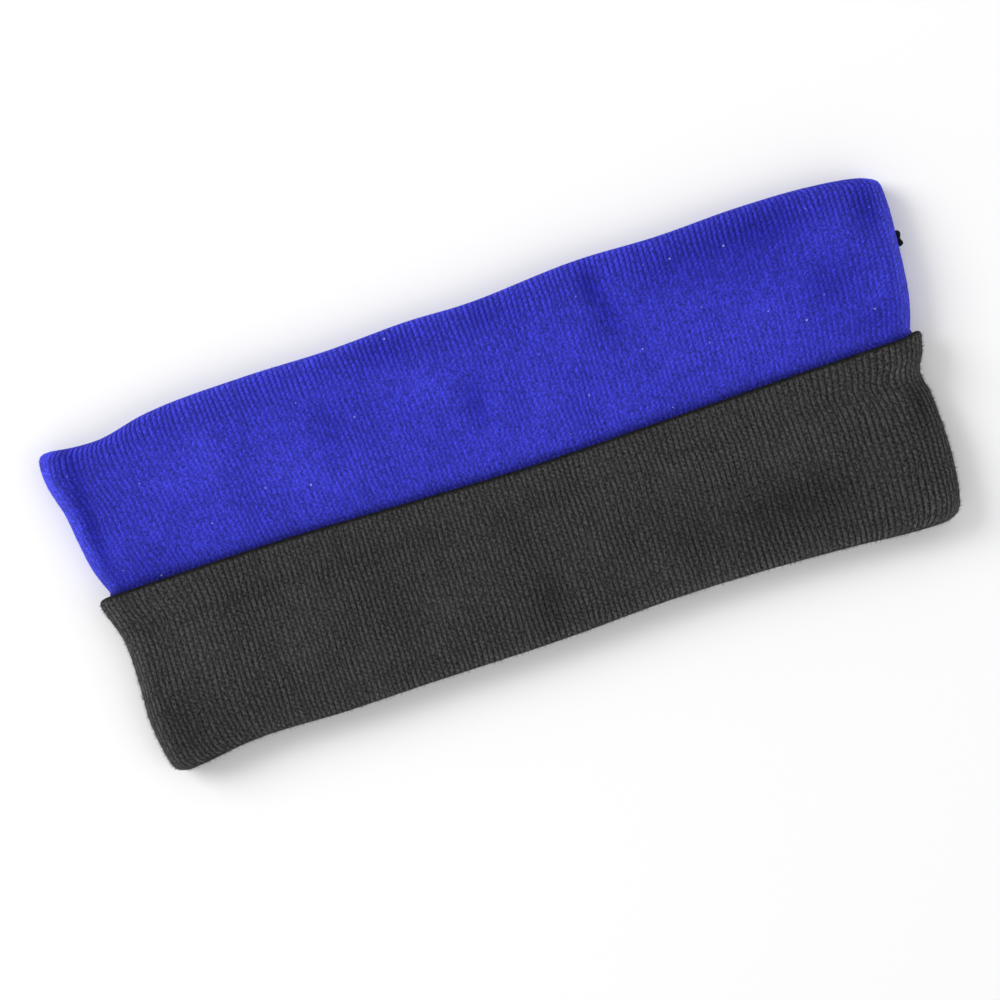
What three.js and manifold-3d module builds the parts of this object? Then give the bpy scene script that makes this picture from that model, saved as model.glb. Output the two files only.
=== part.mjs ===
// A reversible sports headband of thick rib knit, lying flat on a table. Two doubled strips of knit,
// one blue and one black, are each closed into a loop and joined along one edge, so that either
// half can be folded over the other and worn outwards.
// Millimetres: +X along the band, +Y across it towards the blue fold, +Z up from the table.

import * as THREE from "three";
import { mergeVertices } from "three/addons/utils/BufferGeometryUtils.js";
import Module from "manifold-3d";

// The band as it lies
const BLUE_DEPTH = 46; // join seam to the blue fold
const BLACK_DEPTH = 48; // join seam to the black fold
const SEAM_REACH = 113.3; // middle of the band to either end, at the join seam
const LOOP_HEIGHT = 10.9; // two walls and the head gap between them

// The cloth
const LAYER = 1.1; // one thickness of knit
const POCKET = 0.3; // between the two layers of a wall
const CLEARANCE = 0.3; // between pieces that touch

// The blue half's outline
const FLARE_LEFT = 6.4; // how far each end leans out
const FLARE_RIGHT = 4;
const FLARE_AT = 36; // where an end reaches furthest, from the join seam
const BLUE_CORNER = 4.5;
const DROP_LEFT = 4.2; // how far the fold comes down towards each end
const DROP_RIGHT = 2.4;
const DROP_LENGTH = 48;

// The black half's outline: a raised strip over the allowance, then a pinch, then the full body
const HORN = 1.8; // how far the raised strip's ends stand out past the seam
const PINCH = 1.7; // how far the ends draw in below it
const BODY_DRAW = 0.9; // how far they stay in below that
const BLACK_CORNER = 5;
const CORNER_SWELL = 2.2; // how far the fold bulges by its corners
const SWELL_LENGTH = 14;

// The join seam's turned-in raw edges, which lie inside the black half
const ALLOWANCE_WIDTH = 6;
const ALLOWANCE_THICKNESS = 1.2;
const JOIN_THREAD = 0.8;
const OVERLOCK_THREAD = 1.2; // the overlock's loops, taken together as one cord
const STRIP_FADE = 3; // over which the raised strip comes down again

// The cross seams that close the loops, at the right-hand fold, and the label caught in one
const CLOSING_THREAD = 0.7;
const LABEL_WIDTH = 5;
const LABEL_PROUD = 2.2; // beyond the blue end
const LABEL_LEAF = 0.45; // the ribbon is folded double
const LABEL_AWAY = 26.5; // join seam to the label's middle

// Steps round the loop, which are even numbers, and sides of a thread
const END_STEPS = 8;
const RUN_STEPS = 12;
const THREAD_SIDES = 6;

const WALL = 2 * LAYER + POCKET;
const AROUND = 2 * (END_STEPS + RUN_STEPS);
const JOIN_AT = CLEARANCE + JOIN_THREAD / 2; // from the seam to each thing in the strip
const ALLOWANCE_FROM = JOIN_AT + JOIN_THREAD / 2 + CLEARANCE;
const ALLOWANCE_TO = ALLOWANCE_FROM + ALLOWANCE_WIDTH;
const OVERLOCK_AT = ALLOWANCE_TO + CLEARANCE + OVERLOCK_THREAD / 2;
const STRIP_TO = OVERLOCK_AT + OVERLOCK_THREAD / 2 + CLEARANCE;
const THICKEST = Math.max(ALLOWANCE_THICKNESS, JOIN_THREAD, OVERLOCK_THREAD);
const STRIP_RISE = THICKEST + 2 * CLEARANCE - POCKET;

const { smoothstep, lerp } = THREE.MathUtils;

// How far a rounded corner draws an outline in, at a distance inside its edge.
function cornerCut(inside, radius) {
  const short = radius - Math.min(Math.max(inside, 0), radius);
  return radius - Math.sqrt(radius ** 2 - short ** 2);
}

// Each half lies to one side of the join seam, which is at y = 0 until the band is centred.
// `away` is a distance from the seam, and `end` is -1 at the left and 1 at the right.
const blueHalf = {
  side: 1,
  depth: BLUE_DEPTH,
  rise: () => 0,
  reach(away, end) {
    const flare = end < 0 ? FLARE_LEFT : FLARE_RIGHT;
    const out = flare * Math.sin((Math.PI / 2) * Math.min(away / FLARE_AT, 1));
    return SEAM_REACH + out - cornerCut(BLUE_DEPTH - away, BLUE_CORNER);
  },
  depthAt(x) {
    const left = smoothstep(-x, SEAM_REACH - DROP_LENGTH, SEAM_REACH);
    const right = smoothstep(x, SEAM_REACH - DROP_LENGTH, SEAM_REACH);
    return BLUE_DEPTH - DROP_LEFT * left - DROP_RIGHT * right;
  },
};

const blackHalf = {
  side: -1,
  depth: BLACK_DEPTH,
  rise: (away) => STRIP_RISE * (1 - smoothstep(away, STRIP_TO, STRIP_TO + STRIP_FADE)),
  reach(away) {
    const strip = 1 - smoothstep(away, 0, STRIP_TO);
    const pinch = 1 - smoothstep(away, STRIP_TO, 2 * STRIP_TO);
    const out = HORN * strip - (BODY_DRAW + (PINCH - BODY_DRAW) * pinch) * (1 - strip);
    return SEAM_REACH + out - cornerCut(BLACK_DEPTH - away, BLACK_CORNER);
  },
  depthAt(x) {
    const middle = SEAM_REACH - SWELL_LENGTH;
    return BLACK_DEPTH + CORNER_SWELL * smoothstep(Math.abs(x), middle - SWELL_LENGTH, middle);
  },
};

// The thickness of a half's doubled wall, with what lies inside it.
const wallAt = (half, away) => WALL + half.rise(away);

// Where a point of the loop lies. `step` goes once round it from the right-hand fold's tip, over the
// upper run, the left-hand fold and the lower run; `inset` goes in from the outer face.
function lay(half, step, inset, away) {
  const overTop = Math.min(Math.max(step - END_STEPS / 2, 0), RUN_STEPS);
  const below = Math.min(Math.max(step - 1.5 * END_STEPS - RUN_STEPS, 0), RUN_STEPS);
  const turn = (Math.PI * (step - overTop - below)) / END_STEPS;
  const along = (1 - Math.cos((Math.PI * (overTop - below)) / RUN_STEPS)) / 2;
  const radius = (LOOP_HEIGHT + half.rise(away)) / 2;
  const centre = lerp(half.reach(away, 1) - radius, radius - half.reach(away, -1), along);
  const x = centre + (radius - inset) * Math.cos(turn);
  const y = (half.side * away * half.depthAt(x)) / half.depth;
  return [x, y, radius + (radius - inset) * Math.sin(turn)];
}

// A closed section, as [inset, away] corners, taken once round the loop.
function ring(half, section) {
  const corners = [...section, section[0]];
  const turned = corners.map(([inset, away]) => new THREE.Vector2(SEAM_REACH - inset, away));
  const geometry = new THREE.LatheGeometry(turned, AROUND);
  const at = geometry.getAttribute("position");
  for (let i = 0; i < at.count; i++) {
    const [inset, away] = corners[i % corners.length];
    const step = Math.floor(i / corners.length) % AROUND;
    at.setXYZ(i, ...lay(half, step, inset, away));
  }
  return geometry;
}

// The section of a doubled strip: two layers from the seam, joined at the fold by a round edge.
function foldedSection(half, stations) {
  const edge = WALL / 2;
  const pocketEnd = half.depth - LAYER;
  const bends = 4;
  const outer = stations.map((away) => [0, away]);
  const fold = [];
  for (let i = 0; i <= bends; i++) {
    const turn = (Math.PI * i) / bends;
    fold.push([edge - edge * Math.cos(turn), half.depth - edge + edge * Math.sin(turn)]);
  }
  const lining = stations.map((away) => [wallAt(half, away), away]).reverse();
  const pocketLining = stations.map((away) => [wallAt(half, away) - LAYER, away]);
  const pocketOuter = stations.map((away) => [LAYER, away]).reverse();
  const pocketFold = [
    [WALL - LAYER, pocketEnd],
    [LAYER, pocketEnd],
  ];
  return [...outer, ...fold, ...lining, ...pocketLining, ...pocketFold, ...pocketOuter];
}

// A band's section, `thickness` by the span of its stations, in the middle of a half's wall.
function flatSection(half, stations, thickness) {
  const near = stations.map((away) => [(wallAt(half, away) - thickness) / 2, away]);
  const far = stations.map((away) => [(wallAt(half, away) + thickness) / 2, away]);
  return [...near, ...far.reverse()];
}

// A thread's section, in the middle of a half's wall.
function threadSection(half, diameter, away) {
  const middle = wallAt(half, away) / 2;
  return Array.from({ length: THREAD_SIDES }, (_, i) => {
    const turn = (2 * Math.PI * (i + 0.5)) / THREAD_SIDES;
    return [middle - (diameter / 2) * Math.cos(turn), away + (diameter / 2) * Math.sin(turn)];
  });
}

// A straight-sided thread through a half's wall at the tip of the right-hand fold.
function crossThread(half, diameter, from, to) {
  const steps = 8;
  const points = Array.from({ length: steps + 1 }, (_, i) => {
    const away = lerp(from, to, i / steps);
    return new THREE.Vector3(...lay(half, 0, wallAt(half, away) / 2, away));
  });
  const round = Array.from({ length: THREAD_SIDES }, (_, i) => {
    const turn = (2 * Math.PI * i) / THREAD_SIDES;
    return new THREE.Vector2(Math.cos(turn), Math.sin(turn)).multiplyScalar(diameter / 2);
  });
  const path = new THREE.CatmullRomCurve3(points);
  return new THREE.ExtrudeGeometry(new THREE.Shape(round), { steps, extrudePath: path });
}

const wasm = await Module();
wasm.setup();

// A closed geometry as a manifold-3d solid with outward faces.
function solid(geometry) {
  const bare = geometry.clone();
  bare.deleteAttribute("normal");
  bare.deleteAttribute("uv");
  const merged = mergeVertices(bare);
  const triVerts = new Uint32Array(merged.index.array);
  const vertProperties = new Float32Array(merged.getAttribute("position").array);
  const made = new wasm.Manifold(new wasm.Mesh({ numProp: 3, vertProperties, triVerts }));
  if (made.volume() > 0) return made;
  for (let i = 0; i < triVerts.length; i += 3) {
    [triVerts[i + 1], triVerts[i + 2]] = [triVerts[i + 2], triVerts[i + 1]];
  }
  return new wasm.Manifold(new wasm.Mesh({ numProp: 3, vertProperties, triVerts }));
}

function geometryOf(made) {
  const { vertProperties, triVerts } = made.getMesh();
  const geometry = new THREE.BufferGeometry();
  geometry.setAttribute("position", new THREE.BufferAttribute(vertProperties, 3));
  geometry.setIndex(new THREE.BufferAttribute(triVerts, 1));
  geometry.computeVertexNormals();
  return geometry;
}

// The closing seam's thread, and the channel that it takes in a half's wall.
function closingThread(half, from) {
  const to = half.depth - WALL;
  const thread = solid(crossThread(half, CLOSING_THREAD, from, to));
  const wide = CLOSING_THREAD + 2 * CLEARANCE;
  const channel = solid(crossThread(half, wide, from - CLEARANCE, to + CLEARANCE));
  return { thread, channel };
}

// The label: a ribbon folded at its tip, whose tails reach in to the closing thread.
function labelTab() {
  const [endX, y, z] = lay(blueHalf, 0, 0, LABEL_AWAY);
  const half = LABEL_LEAF + POCKET / 2;
  const root = endX - WALL / 2 + CLOSING_THREAD / 2 + CLEARANCE;
  const bend = endX + LABEL_PROUD - half;
  const outline = new THREE.Shape();
  outline.moveTo(root, -half);
  outline.lineTo(bend, -half);
  outline.absarc(bend, 0, half, -Math.PI / 2, Math.PI / 2);
  outline.lineTo(root, half);
  outline.lineTo(root, POCKET / 2);
  outline.lineTo(bend, POCKET / 2);
  outline.lineTo(bend, -POCKET / 2);
  outline.lineTo(root, -POCKET / 2);
  const options = { depth: LABEL_WIDTH, bevelEnabled: false, curveSegments: 8 };
  const tab = new THREE.ExtrudeGeometry(outline, options);
  tab.rotateX(Math.PI / 2).translate(0, y + LABEL_WIDTH / 2, z);
  const slot = new THREE.BoxGeometry(
    2 * LABEL_PROUD + WALL,
    LABEL_WIDTH + 2 * CLEARANCE,
    2 * (half + CLEARANCE),
  );
  slot.translate(endX + LABEL_PROUD, y, z); // from the middle of the wall outwards
  return { tab: solid(tab), slot: solid(slot) };
}

// Stations across each half, closer together where its outline turns.
const toFold = (half, corner) => [half.depth - 0.9 * corner, half.depth - 0.55 * corner];
const blueStations = [CLEARANCE / 2, FLARE_AT / 3, (2 * FLARE_AT) / 3, FLARE_AT];
blueStations.push(...toFold(blueHalf, BLUE_CORNER));
const allowanceStations = [ALLOWANCE_FROM, ALLOWANCE_FROM + ALLOWANCE_WIDTH / 2, ALLOWANCE_TO];
const blackStations = [CLEARANCE / 2, ...allowanceStations, STRIP_TO, STRIP_TO + STRIP_FADE / 2];
blackStations.push(STRIP_TO + STRIP_FADE, 2 * STRIP_TO, ...toFold(blackHalf, BLACK_CORNER));

const blueClosing = closingThread(blueHalf, 2 * CLEARANCE);
const blackClosing = closingThread(blackHalf, STRIP_TO + STRIP_FADE);
const label = labelTab();

const bluePanel = solid(ring(blueHalf, foldedSection(blueHalf, blueStations)))
  .subtract(blueClosing.channel)
  .subtract(label.slot);
const blackPanel = solid(ring(blackHalf, foldedSection(blackHalf, blackStations))).subtract(
  blackClosing.channel,
);

const allowance = flatSection(blackHalf, allowanceStations, ALLOWANCE_THICKNESS);
const joinThread = threadSection(blackHalf, JOIN_THREAD, JOIN_AT);
const overlockThread = threadSection(blackHalf, OVERLOCK_THREAD, OVERLOCK_AT);

const cloth = (color) => new THREE.MeshStandardMaterial({ color, roughness: 0.95, metalness: 0 });
const thread = (color) => new THREE.MeshStandardMaterial({ color, roughness: 0.6, metalness: 0 });

function mesh(name, made, material) {
  const piece = new THREE.Mesh(geometryOf(made), material);
  piece.name = name;
  return piece;
}

const blackGroup = new THREE.Group().add(
  mesh("black_panel", blackPanel, cloth(0x363636)),
  mesh("join_seam_allowance", solid(ring(blackHalf, allowance)), cloth(0x2c2c2e)),
  mesh("join_seam_thread", solid(ring(blackHalf, joinThread)), thread(0x1c1c1e)),
  mesh("overlock_thread", solid(ring(blackHalf, overlockThread)), thread(0x1c1c1e)),
  mesh("black_closing_thread", blackClosing.thread, thread(0x1c1c1e)),
);
const blueGroup = new THREE.Group().add(
  mesh("blue_panel", bluePanel, cloth(0x3436b2)),
  mesh("blue_closing_thread", blueClosing.thread, thread(0x23258c)),
  mesh("label_tab", label.tab, cloth(0x2a2ca0)),
);

// The origin is on the table, under the middle of the band.
const band = new THREE.Group().add(blackGroup, blueGroup);
const middle = new THREE.Box3().setFromObject(band).getCenter(new THREE.Vector3());
band.position.set(-middle.x, -middle.y, 0);

export default new THREE.Group().add(band);
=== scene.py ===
import math

import bpy
import numpy as np
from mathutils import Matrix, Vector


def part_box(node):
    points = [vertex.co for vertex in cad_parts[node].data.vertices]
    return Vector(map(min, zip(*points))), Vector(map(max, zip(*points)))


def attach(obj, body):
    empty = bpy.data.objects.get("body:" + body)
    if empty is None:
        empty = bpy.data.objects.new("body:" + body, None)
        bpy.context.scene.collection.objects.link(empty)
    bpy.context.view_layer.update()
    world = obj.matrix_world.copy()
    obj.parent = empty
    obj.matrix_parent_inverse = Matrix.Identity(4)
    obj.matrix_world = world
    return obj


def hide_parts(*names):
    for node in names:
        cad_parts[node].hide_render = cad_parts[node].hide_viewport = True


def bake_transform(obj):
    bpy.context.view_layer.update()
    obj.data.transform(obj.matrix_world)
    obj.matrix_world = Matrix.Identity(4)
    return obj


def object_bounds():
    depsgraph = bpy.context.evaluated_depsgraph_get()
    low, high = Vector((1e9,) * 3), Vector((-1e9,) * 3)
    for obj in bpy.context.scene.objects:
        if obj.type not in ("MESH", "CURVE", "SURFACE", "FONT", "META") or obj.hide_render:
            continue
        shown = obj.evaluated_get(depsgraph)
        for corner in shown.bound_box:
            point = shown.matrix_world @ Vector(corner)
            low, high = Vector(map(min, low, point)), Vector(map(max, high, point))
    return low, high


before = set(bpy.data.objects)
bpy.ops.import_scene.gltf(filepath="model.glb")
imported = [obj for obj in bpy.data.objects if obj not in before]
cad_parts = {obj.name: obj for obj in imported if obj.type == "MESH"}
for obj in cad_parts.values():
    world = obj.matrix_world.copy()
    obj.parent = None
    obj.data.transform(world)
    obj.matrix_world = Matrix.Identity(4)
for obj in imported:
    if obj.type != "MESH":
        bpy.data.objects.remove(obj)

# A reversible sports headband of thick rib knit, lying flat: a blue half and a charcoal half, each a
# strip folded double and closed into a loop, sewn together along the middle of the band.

cad_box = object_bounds()
MM = 0.001

# ---- Table, light and camera --------------------------------------------------------------------
# The band lies on a plain white table under a large soft light from its upper left, and is looked
# at from straight above, turned so that its right-hand end is the higher one.


def linear(hex_colour):
    """An sRGB hex colour as linear RGBA."""
    parts = [int(hex_colour[i : i + 2], 16) / 255 for i in (1, 3, 5)]
    return [c / 12.92 if c <= 0.04045 else ((c + 0.055) / 1.055) ** 2.4 for c in parts] + [1.0]


def add(tree, kind, inputs=None, **settings):
    """A new node with its settings, and its inputs as values or as links from other nodes' sockets."""
    made = tree.nodes.new(kind)
    for name, value in settings.items():
        setattr(made, name, value)
    for socket, value in (inputs or {}).items():
        if isinstance(value, bpy.types.NodeSocket):
            tree.links.new(value, made.inputs[socket])
        else:
            made.inputs[socket].default_value = value
    return made


def new_material(name):
    """An empty node material, its tree and its output node."""
    made = bpy.data.materials.new(name)
    made.use_nodes = True
    made.node_tree.nodes.clear()
    return made, made.node_tree, made.node_tree.nodes.new("ShaderNodeOutputMaterial")


def show(name, data):
    """An object of this data in the scene."""
    made = bpy.data.objects.new(name, data)
    bpy.context.scene.collection.objects.link(made)
    return made


LAMINATE_PATCHES = 9.0  # patches of tone in each metre


def table_laminate():
    """White matt laminate: a faint, broad unevenness is all the eye finds on it."""
    made, tree, out = new_material("white matt table laminate")
    spots = add(tree, "ShaderNodeTexNoise", {"Scale": LAMINATE_PATCHES, "Detail": 3.0})
    tint = add(
        tree,
        "ShaderNodeMix",
        {"Factor": spots.outputs["Fac"], "A": linear("#f4f4f4"), "B": linear("#f9f9f9")},
        data_type="RGBA",
    )
    skin = add(
        tree,
        "ShaderNodeBsdfPrincipled",
        {"Base Color": tint.outputs["Result"], "Roughness": 0.8, "Specular IOR Level": 0.2},
    )
    tree.links.new(skin.outputs["BSDF"], out.inputs["Surface"])
    return made


TABLE_SIDE = 12.0
TABLE_DROP = 0.15 * MM  # keeps the cloth's underside clear of the table top
table_mesh = bpy.data.meshes.new("table")
far = TABLE_SIDE / 2
table_corners = [(-far, -far, 0), (far, -far, 0), (far, far, 0), (-far, far, 0)]
table_mesh.from_pydata(table_corners, [], [(0, 1, 2, 3)])
table = show("table", table_mesh)
table.location.z = -TABLE_DROP
table_mesh.materials.append(table_laminate())

ROOM_LIGHT = 0.66  # even light from all round, beside the two lamps
scene = bpy.context.scene
scene.view_settings.view_transform = "Standard"
scene.world = bpy.data.worlds.new("white studio")
scene.world.use_nodes = True
room = scene.world.node_tree.nodes["Background"]
room.inputs["Color"].default_value = linear("#ffffff")
room.inputs["Strength"].default_value = ROOM_LIGHT


def soft_light(name, place, side, watts):
    """A square soft light that looks at the band's middle."""
    lamp = bpy.data.lights.new(name, "AREA")
    lamp.shape = "SQUARE"
    lamp.size = side
    lamp.energy = watts
    made = show(name, lamp)
    made.location = place
    made.rotation_euler = (-made.location).to_track_quat("-Z", "Y").to_euler()
    return made


# place and side in metres, and power in watts
soft_light("key_softbox", (-1.3, 1.0, 1.15), 1.1, 27.0)
soft_light("fill_softbox", (1.2, -0.9, 1.5), 1.4, 6.0)

TURN = math.radians(18.1)  # the band's right-hand end is this much higher
LENS = 100.0
SENSOR = 36.0
FRAME_WIDTH = 266.5 * MM  # what the camera sees at half the band's height
MIDDLE_RIGHT = -2.6 * MM  # where the camera aims, from the band's middle
MIDDLE_UP = -7.0 * MM
camera_data = bpy.data.cameras.new("camera")
camera_data.lens = LENS
camera_data.sensor_width = SENSOR
camera_data.clip_start = 0.01
camera = show("camera", camera_data)
right = np.array([math.cos(TURN), -math.sin(TURN)])
up = np.array([math.sin(TURN), math.cos(TURN)])
aim = right * MIDDLE_RIGHT + up * MIDDLE_UP
camera.location = (aim[0], aim[1], cad_box[1][2] / 2 + FRAME_WIDTH * LENS / SENSOR)
camera.rotation_euler = (0, 0, -TURN)
scene.camera = camera

# ---- Blue knit panel ----------------------------------------------------------------------------
# The blue half: one strip of 1x1 rib knit, folded double at the band's upper edge and closed into a
# loop, with its raw edges sewn into the join. Its ribs run across the band and over the fold, and
# its face is lightly brushed.

BAND_LENGTH = 230.0  # end to end, mm
LOOP_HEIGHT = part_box("blue_panel")[1].z / MM
LAYER = 1.1  # one thickness of the knit, mm
WALL = 2.5  # both layers with the air between them
FOLD_RIBS = 12  # ribs round the fold at one end
FOLD_ROWS = 6  # mesh rows over the fold at the band's edge
LINING_RIBS = 0.25  # depth of the ribs on the lining
RIB_PITCH = 1.45  # from one rib to the next
STITCH = 1.25  # length of one stitch along its rib


def through(points, at):
    """A smooth curve through these (place, value) points, read at `at`."""
    places, values = np.array(points, float).T
    slopes = np.gradient(values, places)
    i = np.clip(np.searchsorted(places, at) - 1, 0, len(places) - 2)
    span = places[i + 1] - places[i]
    t = np.clip((at - places[i]) / span, 0, 1)
    return (
        (1 + 2 * t) * (1 - t) ** 2 * values[i]
        + t * (1 - t) ** 2 * span * slopes[i]
        + t * t * (3 - 2 * t) * values[i + 1]
        - t * t * (1 - t) * span * slopes[i + 1]
    )


def step(value, start, end):
    """0 before start, 1 after end, and smooth between them."""
    t = np.clip((value - start) / (end - start), 0, 1)
    return t * t * (3 - 2 * t)


def corner_cut(inside, radius):
    """How far a rounded corner draws an end in, at a distance inside the edge."""
    short = radius - np.clip(inside, 0, radius)
    return radius - np.sqrt(radius**2 - short**2)


# The join as it lies: it bows a little towards the black half in the middle, and its right end curls up.
SEAM_LINE = [
    (-120, 1.9), (-90, 2.1), (-60, 2.0), (-25, 0.9), (5, 0.1), (40, 0.6), (80, 1.3), (104, 1.6),
    (111, 1.8), (115, 2.8), (120, 4.2),
]

BLUE = {
    "side": 1,  # above the join; the black half is below it
    "depth": 46.0,  # from the join to the fold
    "ribs": 156,  # along one face of the band
    "rib_steps": 4,  # mesh columns for each rib
    "closer": 0.003,  # how much closer the ribs lie at the left than at the right
    "rib_depth": lambda away: step(away, 0.3, 3.0) * (0.26 + 0.2 * step(away, 33, 42)),
    # (x, y) along the fold, and (distance from the join, half length) down each end
    "edge": [
        (-120, 44.8), (-110, 43.0), (-102, 42.5), (-88, 45.2), (-60, 46.5), (-36, 46.2), (-12, 47.0),
        (0, 46.6), (36, 48.5), (56, 47.9), (80, 48.5), (98, 47.9), (108, 46.8), (120, 44.2),
    ],
    "left": [
        (0, 110.8), (4.5, 112.5), (9, 113.8), (18, 115.1), (27, 116.2), (31, 117.3), (35, 118.3),
        (40, 118.7), (46, 118.2),
    ],
    "right": [(0, 112.9), (4.5, 114.6), (9, 115.8), (18, 117.0), (26, 117.6), (34, 118.1), (46, 118.1)],
    "corner": (3.2, 2.8),  # radius of the left and the right corner
    # where the lining has its rows: near the hollows, and closest where the cloth bends
    "lining": (41, 36, 29, 22, 17.5, 14.5, 11.5, 8.5, 5.5, 2.8, 0),
    "end_reach": 28.0,  # how far into the band the shape of its ends is felt
    # painted highlight: how much paler the cloth is painted at the fold and at the ends, where the edges
    # catch the light
    "painted_fold_highlight": lambda x: 0.75 - 0.3 * step(x, -20, 40),
    "painted_end_highlight": lambda x: 1.2 + 0.1 * step(-x, 0, 80),
    "fibres": (1800, 0.5, 0.05),  # how many loose fibres, the longest, and their half width, mm
    # x, y, half length, half width, rise: where the cloth hollows or swells as it lies, with painted shade
    # in each hollow and painted light on each swell
    "hollows": [
        (35.5, 40, 3.0, 6, -1.9),
        (38.5, 31, 3.2, 6, -1.4),
        (84, 41, 15, 6, -1.6),
        (60, 38, 13, 8, -0.9),
        (79, 30, 13, 7, -0.7),
        (97, 21, 9, 9, -1.1),
        (112, 37, 4, 6, -1.7),
        (-2.5, 20, 3.2, 7, -1.2),
        (-22, 41, 9, 5, -1.1),
        (6, 42, 6, 4, -1.0),
        (-41, 25, 4, 9, -0.7),
        (-109.5, 24, 3.2, 28, -1.8),
        (-101, 5, 18, 4, -0.8),
        (106, 8, 9, 4, -0.9),
        (-85, 25, 6, 6, 0.6),
        (-74, 29, 4, 9, 1.0),
        (-56, 18, 7, 6, 0.8),
        (-38, 13, 9, 5, 0.6),
        (-12, 26, 4, 6, 0.5),
        (15, 15, 4, 12, 0.4),
        (66, 14, 16, 6, 0.6),
    ],
}


SEAM_PULL = 2.2  # how far the join's stitches pull the blue face in, mm
SEAM_PULL_REACH = 4.0
SEAM_ROLL = 1.5  # radius of the black half's rolled edge at the join
SEAM_ROLL_DEPTH = 1.7  # how deep that roll goes for its radius
ALLOWANCE_LIFT = 1.5


def face_inset(half, away):
    """How far the outer face lies inside the full height of the loop, near the join."""
    if half["side"] > 0:
        return SEAM_PULL * (1 - np.clip(away / SEAM_PULL_REACH, 0, 1)) ** 2
    return corner_cut(away, SEAM_ROLL) * SEAM_ROLL_DEPTH


def rise(half, away):
    """How far the seam allowance inside lifts the wall."""
    return 0 * away if half["side"] > 0 else ALLOWANCE_LIFT * (1 - step(away, 8.2, 12.5))


EDGE_SINK = 1.3  # how far the upper face sinks towards the fold at the band's edge
EDGE_SINK_REACH = 9.0


def lay(half, rib, away, inset):
    """Where points of the loop lie, in mm, and the painted light and shade of the cloth there. `rib`
    counts ribs round it from the right-hand end's tip, over the upper face first; `away` is the distance
    from the join, and
    `inset` goes in from the face."""
    run = half["ribs"]
    over_top = np.clip(rib - FOLD_RIBS / 2, 0, run)
    below = np.clip(rib - 1.5 * FOLD_RIBS - run, 0, run)
    turn = math.pi * (rib - over_top - below) / FOLD_RIBS
    share = (over_top - below) / run
    share = share + half["closer"] * np.sin(math.pi * share)
    height = LOOP_HEIGHT + rise(half, away)
    radius = height / 2
    ends = []
    for end, corner, sign in (("right", half["corner"][1], 1), ("left", half["corner"][0], -1)):
        curve = half[end]
        straight = through([curve[0], curve[-1]], away) if half["side"] > 0 else curve[-1][1]
        exact = through(curve, away) - corner_cut(half["depth"] - away, corner)
        if half["side"] > 0:  # the blue ends keep their width down to the join
            exact = exact + face_inset(half, away)
        from_end = BAND_LENGTH * (share if sign > 0 else 1 - share)
        drawn = straight + (exact - straight) * np.exp(-((from_end / half["end_reach"]) ** 2))
        ends.append(sign * (drawn - radius))
    centre = ends[0] + (ends[1] - ends[0]) * share
    # No rib runs quite straight.
    waver = 0.16 * np.sin(0.83 * rib + 0.21 * away) + 0.12 * np.sin(0.29 * rib - 0.34 * away + 1.7)
    x = centre + (radius - inset) * np.cos(turn) + waver * np.sin(turn)
    seam = through(SEAM_LINE, x)
    edge = through(half["edge"], x)
    y = seam + (edge - seam) * away / half["depth"]
    z = radius + (radius - inset) * np.sin(turn)
    upper = (1 + np.sin(turn)) / 2
    lift = 0
    for hx, hy, wide, deep, high in half["hollows"]:
        lift = lift + high * np.exp(-(((x - hx) / wide) ** 2) - ((y - hy) / deep) ** 2)
    sink = EDGE_SINK * step(away, half["depth"] - EDGE_SINK_REACH, half["depth"]) ** 2
    at_fold = half["painted_fold_highlight"](x) * step(away, half["depth"] - 3.5, half["depth"] - 0.5)
    at_end = half["painted_end_highlight"](x) * step(np.abs(np.cos(turn)), 0.1, 0.7)
    # Painted light and shade for the material: darker in the hollows, paler on the swells, and paler at
    # the fold and the ends, where the edges catch the light.
    painted_shading = np.clip(0.55 * upper * lift + np.maximum(at_fold, at_end), -1, 1.4)
    return np.stack(np.broadcast_arrays(x, y, z + upper * (lift - sink)), -1), painted_shading


def over_fold(half, cloth, out):
    """The (away, inset) place of a point this far along the cloth from the join, on the outer face and
    over the fold at the band's edge, and this far out from the cloth."""
    edge = WALL / 2
    turn = np.clip((cloth - (half["depth"] - edge)) / edge, 0, math.pi)
    face = np.minimum(cloth, half["depth"] - edge)
    away = face + (edge + out) * np.sin(turn)
    return away, face_inset(half, away) + edge - (edge + out) * np.cos(turn)


def doubled_profile(half, face_rows):
    """The section of a doubled strip: face, fold, lining, and the hollow between the two layers. Each
    row is (away, inset, rib depth, distance along the cloth)."""
    depth = half["depth"]
    edge = WALL / 2
    last = depth - edge
    rows = []
    for cloth in list(face_rows) + list(last + edge * np.linspace(0, math.pi, FOLD_ROWS)):
        away, inset = (float(v) for v in over_fold(half, np.array(cloth), 0.0))
        facing = math.cos(max(0.0, cloth - last) / edge)
        rows.append((away, inset, facing * float(half["rib_depth"](np.array(min(cloth, last)))), cloth))
    stations = [depth - WALL, *half["lining"]]
    wall = [WALL + float(rise(half, np.array(away))) for away in stations]
    under_face = [LAYER + float(face_inset(half, np.array(away))) for away in stations]
    lining = list(zip(stations, wall))
    rows += [(away, thick, -LINING_RIBS, 2 * depth - away) for away, thick in lining]
    rows += [(away, thick - LAYER, 0, 2 * depth + away) for away, thick in reversed(lining)]
    rows += [(away, under, 0, 4 * depth - away) for away, under in zip(stations, under_face)]
    return rows


FIBRE_ROOT = -0.3  # how deep in the cloth a loose fibre starts
SPIKE_FACES = np.array([[0, 2, 1], [0, 1, 3], [1, 2, 3], [2, 0, 3]])


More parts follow.
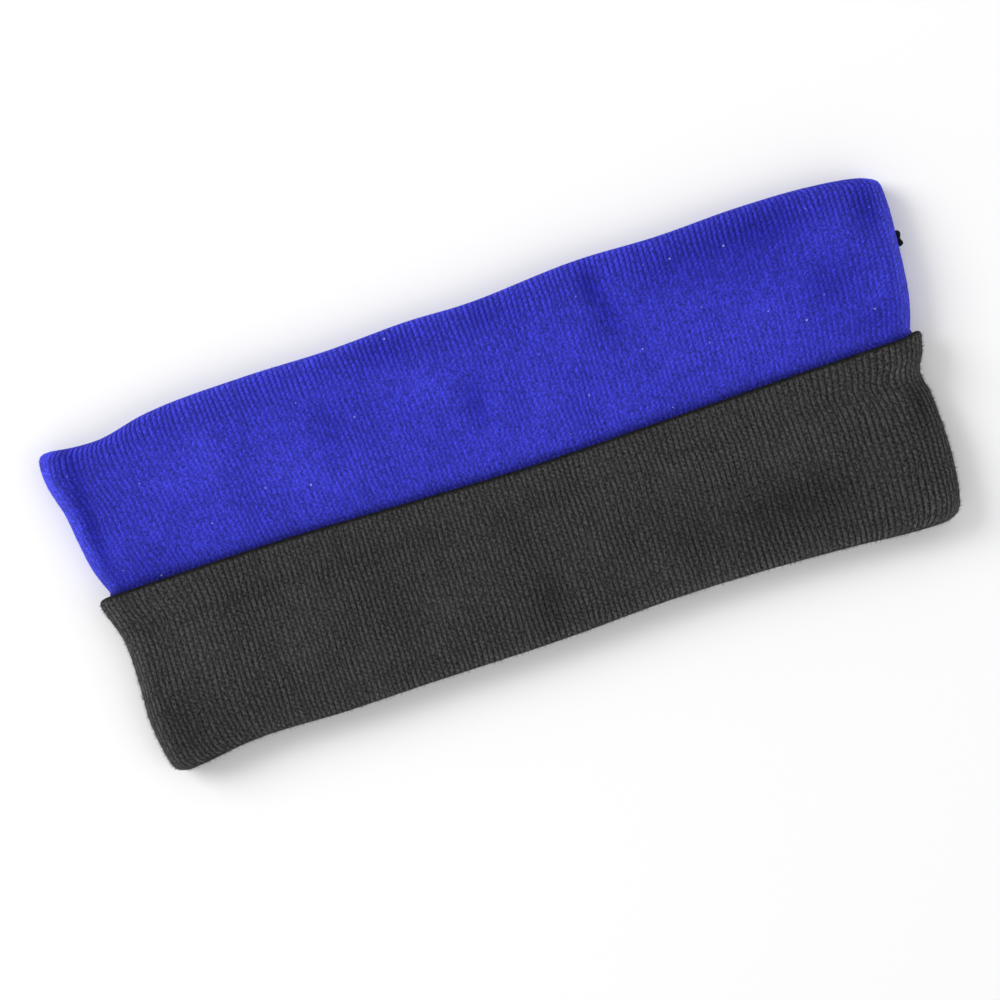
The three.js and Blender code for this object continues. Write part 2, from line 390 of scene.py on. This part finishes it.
def loose_fibres(half, seed):
    """Short fibres that stand out of the knit, most of them at its folds, as thin spikes: their points,
    knit coordinates and faces. Real ones are finer than can be seen, so these are thicker and fewer."""
    count, longest, half_width = half["fibres"]
    chance = np.random.default_rng(seed)
    tips_apart = half["ribs"] + FOLD_RIBS
    rib = chance.uniform(-0.5, tips_apart + 0.5, count)
    cloth = chance.uniform(1.0, half["depth"], count)
    place = chance.random(count)
    on_fold = place < 0.6
    cloth = np.where(on_fold, chance.uniform(half["depth"] - 0.6, half["depth"] + 2.0, count), cloth)
    rib = np.where(on_fold, chance.uniform(0, 2 * tips_apart, count), rib)
    near_tip = chance.uniform(-1.2, 1.8, count)
    rib = np.where(place > 0.9, near_tip, np.where(place > 0.8, tips_apart - near_tip, rib))
    points = []
    for turn in (0, 2 * math.pi / 3, 4 * math.pi / 3):
        root = over_fold(half, cloth + half_width * math.sin(turn), FIBRE_ROOT)
        points.append(lay(half, rib + half_width * math.cos(turn) / RIB_PITCH, *root)[0])
    tip = over_fold(half, cloth + chance.uniform(-0.7, 0.7, count), chance.uniform(0.2, longest, count))
    points.append(lay(half, rib + chance.uniform(-0.5, 0.5, count), *tip)[0])
    faces = (len(points) * np.arange(count)[:, None, None] + SPIKE_FACES).reshape(-1, 3)
    points = np.stack(points, 1).reshape(-1, 3)
    points[:, 2] = np.maximum(points[:, 2], 0)  # those underneath are pressed against the table
    return points, np.repeat(rib, SPIKE_FACES.size), np.repeat(cloth, SPIKE_FACES.size), faces


PACK_MARGIN = 0.004
PACK_HALF = 0.47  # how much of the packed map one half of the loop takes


def loop_mesh(name, half, profile, fibre_seed=None):
    """A closed mesh of a section taken once round the loop, with the loose fibres of its outer face."""
    ribs = 2 * (half["ribs"] + FOLD_RIBS)
    columns = ribs * half["rib_steps"]
    rib = np.arange(columns) / half["rib_steps"]
    groove = (0.5 - 0.5 * np.cos(2 * math.pi * rib)) ** 1.3
    rows = np.array(profile, float)
    away, inset = rows[:, :1], rows[:, 1:2]
    points, painted_shading = lay(half, rib[None, :], away, inset + rows[:, 2:3] * groove[None, :])
    count = len(rows)
    i, j = np.meshgrid(np.arange(count), np.arange(columns), indexing="ij")
    here, following = i * columns, (i + 1) % count * columns
    beside = (j + 1) % columns
    quads = np.stack([here + j, here + beside, following + beside, following + j], -1)
    # The knit's own map: ribs along it, and millimetres of cloth across.
    cloth = np.append(rows[:, 3], rows[-1, 3] + 1)
    along = np.stack([j, j + 1, j + 1, j], -1) / half["rib_steps"]
    across = np.stack([cloth[i], cloth[i], cloth[i + 1], cloth[i + 1]], -1)
    # The packed map: the upper half of the loop beside the lower half, with equal room for every mm.
    step_mm = np.maximum(np.linalg.norm(np.diff(rows[:, :2], axis=0), axis=1), 0.5)
    flat = np.concatenate([[0], np.cumsum(step_mm), [step_mm.sum() + 1]])
    flat = flat / flat[-1]
    down = np.stack([flat[i], flat[i], flat[i + 1], flat[i + 1]], -1)
    face = np.floor(j * 2 / columns)[..., None]
    packed_u = PACK_MARGIN + (1 - 2 * PACK_MARGIN) * (along * 2 / ribs - face)
    packed_v = PACK_MARGIN + PACK_HALF * down + (PACK_HALF + 0.01) * face
    if half["side"] > 0:
        quads, along, across = quads[..., ::-1], along[..., ::-1], across[..., ::-1]
        packed_u, packed_v = packed_u[..., ::-1], packed_v[..., ::-1]
    points, painted_shading = points.reshape(-1, 3), painted_shading.ravel()
    faces = quads.reshape(-1, 4).tolist()
    maps = {"knit": [along.ravel(), across.ravel()], "OFBake": [packed_u.ravel(), packed_v.ravel()]}
    if fibre_seed is not None:
        # The fibres follow, in a narrow strip of the packed map above the rest.
        spikes, spike_rib, spike_cloth, spike_faces = loose_fibres(half, fibre_seed)
        if half["side"] > 0:
            spike_faces = spike_faces[:, ::-1]
        faces += (spike_faces + len(points)).tolist()
        points = np.concatenate([points, spikes])
        # The fibres all get a middling painted highlight.
        painted_shading = np.concatenate([painted_shading, np.full(len(spikes), 0.5)])
        corners = len(spike_rib)
        strip = np.arange(corners) // SPIKE_FACES.size * SPIKE_FACES.size / corners
        spike_maps = {
            "knit": [spike_rib, spike_cloth],
            "OFBake": [PACK_MARGIN + 0.99 * strip, np.tile([0.965, 0.967, 0.969], corners // 3)],
        }
        maps = {key: [np.append(maps[key][k], spike_maps[key][k]) for k in (0, 1)] for key in maps}
    mesh = bpy.data.meshes.new(name)
    mesh.from_pydata((points * MM).tolist(), [], faces)
    mesh.attributes.new("painted_shading", "FLOAT", "POINT").data.foreach_set("value", painted_shading.astype(np.float32))
    for map_name, (u, v) in maps.items():
        corners = np.stack([u, v], -1).astype(np.float32).ravel()
        mesh.uv_layers.new(name=map_name).data.foreach_set("uv", corners)
    mesh.shade_smooth()
    return mesh


PATCHES = 0.06  # patches of tone in each mm of cloth
LINT_SPACING = 16.0  # room for one speck of lint, mm
LINT_SIZE = 0.26  # radius of the largest; real lint is finer, and this is as fine as shows


def rib_knit(
    name,
    crest,  # colour of a rib
    groove,  # colour of the painted shade in the gap between two ribs
    painted_join_shade,  # colour of the painted shade in the crease at the join
    fleck,  # colour of the light that loose fibres catch
    brushed,  # how much of the gaps the brushed fibres hide
    clear_fold,  # how clear of brushed fibres the ribs are at the band's edge
    lint,
    painted_shading_tone,  # how much the painted highlight pales the cloth and the painted shade darkens it, in red, green and blue
    grain,  # clumps of spun fibres in each mm; single fibres are too fine to show
    uneven,  # how far the fibres' tone varies
    between,  # how open a gap stays behind a stitch
    sheen,
    gloss,
):
    """1x1 rib knit in spun yarn: columns of V stitches with shadowed gaps between them, loose fibres
    that catch the light, and, where it is brushed, a haze that hides the ribs in places."""
    made, tree, out = new_material(name)
    place = add(tree, "ShaderNodeUVMap", uv_map="knit")
    parts = add(tree, "ShaderNodeSeparateXYZ", {"Vector": place.outputs["UV"]})
    rib, cloth = parts.outputs["X"], parts.outputs["Y"]

    def maths(operation, a, b=0.5, c=0.5):
        return add(tree, "ShaderNodeMath", {0: a, 1: b, 2: c}, operation=operation).outputs["Value"]

    def ramp(value, start, end):
        inputs = {"Value": value, "From Min": start, "From Max": end}
        return add(tree, "ShaderNodeMapRange", inputs, interpolation_type="SMOOTHSTEP").outputs["Result"]

    def mixed(factor, a, b):
        inputs = {"Factor": factor, "A": a, "B": b}
        return add(tree, "ShaderNodeMix", inputs, data_type="RGBA").outputs["Result"]

    def vectors(operation, inputs):
        return add(tree, "ShaderNodeVectorMath", inputs, operation=operation).outputs["Vector"]

    def vector(x, y):
        return add(tree, "ShaderNodeCombineXYZ", {"X": x, "Y": y}).outputs["Vector"]

    cloth_mm = vector(maths("MULTIPLY", rib, RIB_PITCH), cloth)

    def noise(scale, detail, roughness=0.6):
        inputs = {"Vector": cloth_mm, "Scale": scale, "Detail": detail, "Roughness": roughness}
        made = add(tree, "ShaderNodeTexNoise", inputs, noise_dimensions="2D")
        return maths("SUBTRACT", made.outputs["Fac"], 0.5)

    fibres = noise(grain, 3.0, 0.8)
    patches = noise(PATCHES, 2.0)
    painted_shading = add(tree, "ShaderNodeAttribute", attribute_name="painted_shading").outputs["Fac"]

    # Stitches: each rib is a column of Vs, and each leg of a V hides part of the gap beside it.
    across = maths("ABSOLUTE", maths("SUBTRACT", maths("FRACT", maths("ADD", rib, 0.5)), 0.5))
    column = maths("FLOOR", maths("MULTIPLY", rib, 2.0))
    shifted = maths("MULTIPLY_ADD", column, 0.37, maths("MULTIPLY", across, 1.4))
    course = maths("ADD", maths("DIVIDE", cloth, STITCH), shifted)
    stitch = {"Vector": vector(column, maths("FLOOR", course))}
    chance = add(tree, "ShaderNodeTexWhiteNoise", stitch, noise_dimensions="2D").outputs["Value"]
    leg = maths("SINE", maths("MULTIPLY", maths("FRACT", course), math.pi))

    # Painted shade in the gap between ribs: open where a leg leaves it, and hidden where the cloth is
    # brushed and where the painted highlight is strong.
    gap = ramp(maths("MULTIPLY_ADD", fibres, 0.4, across), 0.24, 0.42)
    opened = ramp(maths("MULTIPLY", leg, maths("MULTIPLY_ADD", chance, 0.7, 0.45)), 0.3, 0.8)
    open_part = maths("MULTIPLY_ADD", opened, 1.0 - between, between)
    hazy = maths("SUBTRACT", 1.0, maths("MULTIPLY", ramp(cloth, 33.0, 42.0), clear_fold))
    hidden = maths("MULTIPLY", maths("MULTIPLY_ADD", patches, 1.6, 0.62), hazy)
    hidden = maths("MULTIPLY", maths("MAXIMUM", hidden, ramp(painted_shading, 0.65, 1.2)), brushed)
    shown = maths("SUBTRACT", 1.0, hidden)
    rolled = ramp(cloth, 0.4, 1.2)
    shade = maths("MULTIPLY", maths("MULTIPLY", gap, open_part), maths("MULTIPLY", shown, rolled))
    yarn = mixed(shade, linear(crest), linear(groove))
    # Painted shade: the cloth darkens into the crease at the join.
    yarn = mixed(maths("SUBTRACT", 1.0, ramp(cloth, 0.2, 1.5)), yarn, linear(painted_join_shade))

    # No two stitches are quite the same tone, and the brushed fibres lie every way.
    lit = maths("MULTIPLY_ADD", maths("MULTIPLY", chance, leg), 0.8, 0.8)
    lit = maths("MULTIPLY_ADD", fibres, uneven, lit)
    lit = maths("MAXIMUM", maths("MULTIPLY_ADD", patches, 0.15, lit), 0.25)
    varied = vectors("SCALE", {0: yarn, "Scale": lit})

    # Painted light and shade: paler at the folds, the ends and the swells, and darker and purer in the
    # hollows.
    tone = vectors("ADD", {0: vectors("SCALE", {0: painted_shading_tone, "Scale": painted_shading}), 1: (1, 1, 1)})
    varied = vectors("MULTIPLY", {0: varied, 1: tone})

    # Specks of pale lint.
    inputs = {"Vector": cloth_mm, "Scale": 1 / LINT_SPACING}
    specks = add(tree, "ShaderNodeTexVoronoi", inputs, voronoi_dimensions="2D", feature="F1")
    luck = add(tree, "ShaderNodeSeparateColor", {"Color": specks.outputs["Color"]}).outputs["Red"]
    speck_size = maths("MULTIPLY", luck, LINT_SIZE / LINT_SPACING)
    is_speck = maths("LESS_THAN", specks.outputs["Distance"], speck_size)
    finished = mixed(maths("MULTIPLY", is_speck, lint), varied, linear("#a9abf0"))

    # Each stitch stands up a little, and its fibres more than that.
    relief = maths("MULTIPLY", leg, maths("SUBTRACT", 1.0, across))
    relief = maths("MULTIPLY_ADD", fibres, 2.4, relief)
    bump = add(tree, "ShaderNodeBump", {"Height": relief, "Strength": 1.0, "Distance": 0.17 * MM})
    skin = add(
        tree,
        "ShaderNodeBsdfPrincipled",
        {
            "Base Color": finished,
            "Normal": bump.outputs["Normal"],
            "Roughness": 0.92,
            "Specular IOR Level": gloss,
            "Sheen Weight": sheen,
            "Sheen Roughness": 0.4,
            "Sheen Tint": linear(fleck),
        },
    )
    tree.links.new(skin.outputs["BSDF"], out.inputs["Surface"])
    return made


LAST_ROW = 1.4  # from the last row of a face to the start of its fold

# The rows lie closest where the cloth bends most as the halves fold together.
blue_rows = [0, 0.5, 1.3, 2.3, 3.4, 4.5, 5.5, 6.4, 7.3, 8.2, 9.1, 10.0, 11.0, 12.2, 13.6, 15.3, 17.3]
blue_rows += list(np.linspace(19.8, BLUE["depth"] - WALL / 2 - LAST_ROW, 10))
blue_mesh = loop_mesh("blue_knit", BLUE, doubled_profile(BLUE, blue_rows), fibre_seed=7)
blue_mesh.materials.append(
    rib_knit(
        "royal blue brushed rib knit",
        crest="#3639c0",
        groove="#10117a",
        painted_join_shade="#0708a0",
        fleck="#8f90ee",
        brushed=0.8,
        clear_fold=1.0,
        lint=0.9,
        painted_shading_tone=(0.5, 0.5, 0.28),
        grain=1.5,
        uneven=2.8,
        between=0.3,
        sheen=0.3,
        gloss=0.2,
    )
)
blue = show("blue_knit", blue_mesh)
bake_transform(blue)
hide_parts("blue_panel")

# ---- Black knit panel ---------------------------------------------------------------------------
# The charcoal half: the same knit, unbrushed. For its first 9 mm it lies over the turned-in seam
# allowance, which lifts it into a strip with a rolled edge and makes it stand out at both ends.

BLACK = {
    "side": -1,
    "depth": 48.0,
    "ribs": 145,
    "rib_steps": 5,
    "closer": 0.022,
    "rib_depth": lambda away: step(away, 0.3, 1.6) * (0.28 - 0.06 * step(away, 40, 47)),
    "edge": [
        (-120, -49.6), (-110, -48.8), (-101, -48.0), (-88, -46.3), (-60, -46.6), (-40, -46.4), (0, -46.3),
        (34, -45.2), (56, -45.6), (80, -46.8), (102, -48.3), (120, -47.4),
    ],
    "left": [
        (0, 114.8), (2.5, 114.4), (5, 113.6), (8, 112.5), (11, 111.6), (15, 111.3), (22, 111.3),
        (34, 111.6), (42, 110.6), (45, 109.9), (48, 108.4),
    ],
    "right": [
        (0, 116.1), (3.5, 115.2), (6.0, 114.4), (8.5, 112.7), (11, 112.5), (15, 113.5), (20, 113.8),
        (34, 113.6), (42, 112.5), (48, 111.0),
    ],
    "corner": (2.2, 3.2),
    "lining": (41, 36, 29, 22, 12.6, 8.0, 0),
    "end_reach": 20.0,
    # painted highlight: how much paler the cloth is painted at the fold and at the ends
    "painted_fold_highlight": lambda x: 0.6 + 0.4 * step(x, -100, 20),
    "painted_end_highlight": lambda x: 0.8 + 0 * x,
    "fibres": (5000, 1.0, 0.085),
    "hollows": [
        (0, -36, 5, 7, -1.0),
        (71, -31, 22, 8, -1.5),
        (40, -30, 8, 9, -0.6),
        (110, -15.5, 4, 7, -1.6),
        (-101, -37, 8, 7, -1.0),
        (-36, -28, 5, 14, -0.5),
        (-2, -18, 8, 12, -0.4),
        (108, -8, 4, 4, 1.4),
        (106, -44, 8, 4, 1.0),
        (-95, -16, 10, 9, 0.5),
        (-66, -26, 6, 8, 0.5),
        (52, -12, 36, 5, 0.5),
    ],
}
# Here the rows lie closest round the rolled edge.
black_rows = [0, 0.12, 0.35, 0.75, 1.25, 2.0, 3.2, 4.6, 6.2, 8.0, 9.6, 11.2, 12.8]
black_rows += list(np.linspace(14.8, BLACK["depth"] - WALL / 2 - LAST_ROW, 14))
black_mesh = loop_mesh("black_knit", BLACK, doubled_profile(BLACK, black_rows), fibre_seed=8)
black_mesh.materials.append(
    rib_knit(
        "charcoal rib knit",
        crest="#404040",
        groove="#000000",
        painted_join_shade="#14140f",
        fleck="#8c8c8c",
        brushed=0.35,
        clear_fold=0.0,
        lint=0.06,
        painted_shading_tone=(0.4, 0.4, 0.4),
        grain=1.5,
        uneven=4.3,
        between=0.33,
        sheen=0.08,
        gloss=0.04,
    )
)
black = show("black_knit", black_mesh)
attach(black, "black_half")
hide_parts("black_panel")

# ---- Seam allowance inside the join -------------------------------------------------------------
# The raw edges of both strips, trimmed together and turned into the black half: cut rib knit, flattened
# by the stitching that holds it. It runs once round the loop, inside the raised strip.

ALLOWANCE_INSET = 1.45  # how far it lies under the black face, mm
ALLOWANCE_THICKNESS = 1.1
ALLOWANCE_RIBS = 0.12
ALLOWANCE_ROUND = 14.0  # distance round its section, and back to the join
allowance_under = ALLOWANCE_INSET + ALLOWANCE_THICKNESS
allowance_rows = [(away, ALLOWANCE_INSET, ALLOWANCE_RIBS, away) for away in (1.3, 3.0, 4.6, 6.2, 7.5)]
allowance_rows += [
    (away, allowance_under, -ALLOWANCE_RIBS, ALLOWANCE_ROUND - away) for away in (7.5, 4.6, 1.3)
]
allowance_mesh = loop_mesh("join_seam_allowance", BLACK, allowance_rows)
allowance_mesh.materials.append(black_mesh.materials[0])
allowance = show("turned_in_edges", allowance_mesh)
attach(allowance, "black_half")
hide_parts("join_seam_allowance")

# ---- Seam threads -------------------------------------------------------------------------------
# Spun polyester sewing thread: a row of stitches that joins the halves in the crease between them,
# and a wider wrap over the raw edges inside.


PLY_TWISTS = 2600.0  # turns of the ply in each metre


def spun_thread(name, colour, shadow):
    """Two-ply spun polyester: a faint twist and a dull lustre."""
    made, tree, out = new_material(name)
    place = add(tree, "ShaderNodeTexCoord").outputs["Object"]
    twist = add(tree, "ShaderNodeTexNoise", {"Vector": place, "Scale": PLY_TWISTS, "Detail": 2.0})
    inputs = {"Factor": twist.outputs["Fac"], "A": linear(shadow), "B": linear(colour)}
    tint = add(tree, "ShaderNodeMix", inputs, data_type="RGBA")
    inputs = {"Height": twist.outputs["Fac"], "Strength": 0.5, "Distance": 0.05 * MM}
    bump = add(tree, "ShaderNodeBump", inputs)
    skin = add(
        tree,
        "ShaderNodeBsdfPrincipled",
        {"Base Color": tint.outputs["Result"], "Normal": bump.outputs["Normal"], "Roughness": 0.6},
    )
    tree.links.new(skin.outputs["BSDF"], out.inputs["Surface"])
    return made


THREAD_TURNS = 330  # stitches once round the loop
TURN_POINTS = 10
THREAD_SIDES = 5


def thread_mesh(name, line, radius, closed):
    """A thread of this radius along a line of points, joined end to end or with its ends shut."""
    ahead = np.roll(line, -1, 0) - np.roll(line, 1, 0) if closed else np.gradient(line, axis=0)
    ahead /= np.linalg.norm(ahead, axis=1)[:, None]
    first = np.cross(ahead, (0.0, 0.3, 1.0))
    first /= np.linalg.norm(first, axis=1)[:, None]
    second = np.cross(ahead, first)
    ring = 2 * math.pi * np.arange(THREAD_SIDES) / THREAD_SIDES
    surface = line[:, None, :] + radius * (
        np.cos(ring)[None, :, None] * first[:, None, :] + np.sin(ring)[None, :, None] * second[:, None, :]
    )
    points = len(line)
    i, j = np.meshgrid(np.arange(points if closed else points - 1), np.arange(THREAD_SIDES), indexing="ij")
    here, after = i * THREAD_SIDES, (i + 1) % points * THREAD_SIDES
    beside = (j + 1) % THREAD_SIDES
    quads = np.stack([here + j, here + beside, after + beside, after + j], -1)
    faces = quads.reshape(-1, 4).tolist()
    if not closed:
        one_end = list(range(THREAD_SIDES))
        faces += [one_end[::-1], [(points - 1) * THREAD_SIDES + corner for corner in one_end]]
    mesh = bpy.data.meshes.new(name)
    mesh.from_pydata((surface.reshape(-1, 3) * MM).tolist(), [], faces)
    mesh.shade_smooth()
    return mesh


def wrapped_thread(name, away, inset, half_width, half_height, radius):
    """A thread wound over a line that runs round the loop inside the black half."""
    points = THREAD_TURNS * TURN_POINTS
    rib = np.arange(points) * 2 * (BLACK["ribs"] + FOLD_RIBS) / points
    wind = 2 * math.pi * np.arange(points) / TURN_POINTS
    line, _ = lay(BLACK, rib, away + half_width * np.cos(wind), inset + half_height * np.sin(wind))
    return thread_mesh(name, line, radius, closed=True)


black_thread = spun_thread("black spun polyester thread", "#262626", "#0e0e0e")
# node, distance from the join, depth under the face, half width and height of the winding, radius
for node, away, inset, half_width, half_height, radius in (
    ("join_seam_thread", 0.75, 2.2, 0.4, 0.42, 0.16),
    ("overlock_thread", 6.6, 2.05, 1.5, 0.72, 0.14),
):
    thread = show(node + "_wound", wrapped_thread(node, away, inset, half_width, half_height, radius))
    thread.data.materials.append(black_thread)
    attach(thread, "black_half")
    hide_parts(node)

# ---- Closing threads ----------------------------------------------------------------------------
# The stitching that closes each strip into a loop, hidden between the two layers of its right-hand end
# fold.

CLOSING_STITCH = 2.0
CLOSING_WINDING = 0.22  # how far the thread winds to each side of its line
CLOSING_RADIUS = 0.13


def closing_thread(name, half, start, end):
    """Stitches up the right-hand end fold, from one distance from the join to another."""
    turns = round((end - start) / CLOSING_STITCH)
    wind = 2 * math.pi * np.arange(turns * TURN_POINTS + 1) / TURN_POINTS
    away = start + (end - start) * wind / wind[-1]
    rib = CLOSING_WINDING / RIB_PITCH * np.cos(wind)
    line, _ = lay(half, rib, away, WALL / 2 + CLOSING_WINDING * np.sin(wind))
    return thread_mesh(name, line, CLOSING_RADIUS, closed=False)


black_closing = show("black_closing_stitches", closing_thread("black_closing_thread", BLACK, 12.4, 45.0))
black_closing.data.materials.append(black_thread)
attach(black_closing, "black_half")
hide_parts("black_closing_thread")

blue_closing = show("blue_closing_stitches", closing_thread("blue_closing_thread", BLUE, 1.2, 43.0))
blue_closing.data.materials.append(spun_thread("blue spun polyester thread", "#2a2c9a", "#14155c"))
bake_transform(blue_closing)
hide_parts("blue_closing_thread")

# ---- Label tab ----------------------------------------------------------------------------------
# A blank tab of woven satin ribbon, near black: a short length folded double, with its tails caught
# in the blue half's right-hand end seam.


WEFT_PITCH = 0.3  # mm; a real weft is about twice as fine, and this is as fine as shows


def woven_ribbon():
    """Satin-woven polyester ribbon: fine threads across its length, with a low gloss."""
    made, tree, out = new_material("near-black woven satin ribbon")
    place = add(tree, "ShaderNodeTexCoord").outputs["Object"]
    parts = add(tree, "ShaderNodeSeparateXYZ", {"Vector": place})
    inputs = {0: parts.outputs["Y"], 1: 2 * math.pi / (WEFT_PITCH * MM)}
    waves = add(tree, "ShaderNodeMath", inputs, operation="MULTIPLY")
    weft = add(tree, "ShaderNodeMath", {0: waves.outputs["Value"]}, operation="SINE").outputs["Value"]
    share = add(tree, "ShaderNodeMath", {0: weft, 1: 0.5, 2: 0.5}, operation="MULTIPLY_ADD")
    inputs = {"Factor": share.outputs["Value"], "A": linear("#030308"), "B": linear("#0a0a20")}
    tint = add(tree, "ShaderNodeMix", inputs, data_type="RGBA")
    bump = add(tree, "ShaderNodeBump", {"Height": weft, "Strength": 0.5, "Distance": 0.04 * MM})
    skin = add(
        tree,
        "ShaderNodeBsdfPrincipled",
        {
            "Base Color": tint.outputs["Result"],
            "Normal": bump.outputs["Normal"],
            "Roughness": 0.6,
            "Specular IOR Level": 0.12,
        },
    )
    tree.links.new(skin.outputs["BSDF"], out.inputs["Surface"])
    return made


LEAF = 0.4  # thickness of the ribbon
NARROWER = 0.6  # how much narrower the ribbon is than the room kept for it
TAIL = 1.0  # how far its tails go into the end fold
LEAVING = 0.8  # how far out it leaves the fold flat
low, high = (np.array(corner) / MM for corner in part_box("label_tab"))
low[1] += NARROWER
tab_centre_z = (low[2] + high[2]) / 2
across_tab = np.linspace(low[1], high[1], 15)
section = []  # x, height above the middle: out along the top leaf, round the loop, back under it
for inset, sign in ((0.0, 1), (LEAF, -1)):
    outer = (high[2] - low[2]) / 2 - inset
    turns = np.radians(np.linspace(90, -90, 9) * sign)
    tip = high[0] - (outer + inset)
    arc = [(tip + outer * math.cos(turn), outer * math.sin(turn)) for turn in turns]
    section += [(low[0] - TAIL, arc[0][1]), (low[0] + LEAVING, arc[0][1])] + arc
    section += [(low[0] + LEAVING, arc[-1][1]), (low[0] - TAIL, arc[-1][1])]
section = np.array(section)
tab_points = []
for y in across_tab:
    part = (y - low[1]) / (high[1] - low[1])
    # The loop is worn: drawn in at its waist and its corners, and curled along its tip.
    waist = 0.5 * math.exp(-(((part - 0.45) / 0.2) ** 2)) + 0.9 * (abs(2 * part - 1) ** 6) + 0.35
    curl = 0.3 * math.sin(2.4 * math.pi * part)
    share = np.clip((section[:, 0] - low[0]) / (high[0] - low[0]), 0, 1)
    x = section[:, 0] - waist * share
    z = tab_centre_z + section[:, 1] + curl * share
    tab_points.append(np.stack([x, np.full(len(section), y), z], -1))
tab_points = np.array(tab_points)
rows, count = tab_points.shape[:2]
tab_faces = [
    (i * count + j, i * count + (j + 1) % count, (i + 1) * count + (j + 1) % count, (i + 1) * count + j)
    for i in range(rows - 1)
    for j in range(count)
]
half_count = count // 2
for row in (0, rows - 1):
    for j in range(half_count - 1):
        cap = [row * count + k for k in (j, j + 1, count - 2 - j, count - 1 - j)]
        tab_faces.append(tuple(cap if row == 0 else reversed(cap)))
tab_mesh = bpy.data.meshes.new("label_ribbon")
tab_mesh.from_pydata((tab_points.reshape(-1, 3) * MM).tolist(), [], tab_faces)
tab_mesh.materials.append(woven_ribbon())
tab_mesh.shade_smooth()
tab = show("label_ribbon", tab_mesh)
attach(tab, "blue_half")
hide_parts("label_tab")
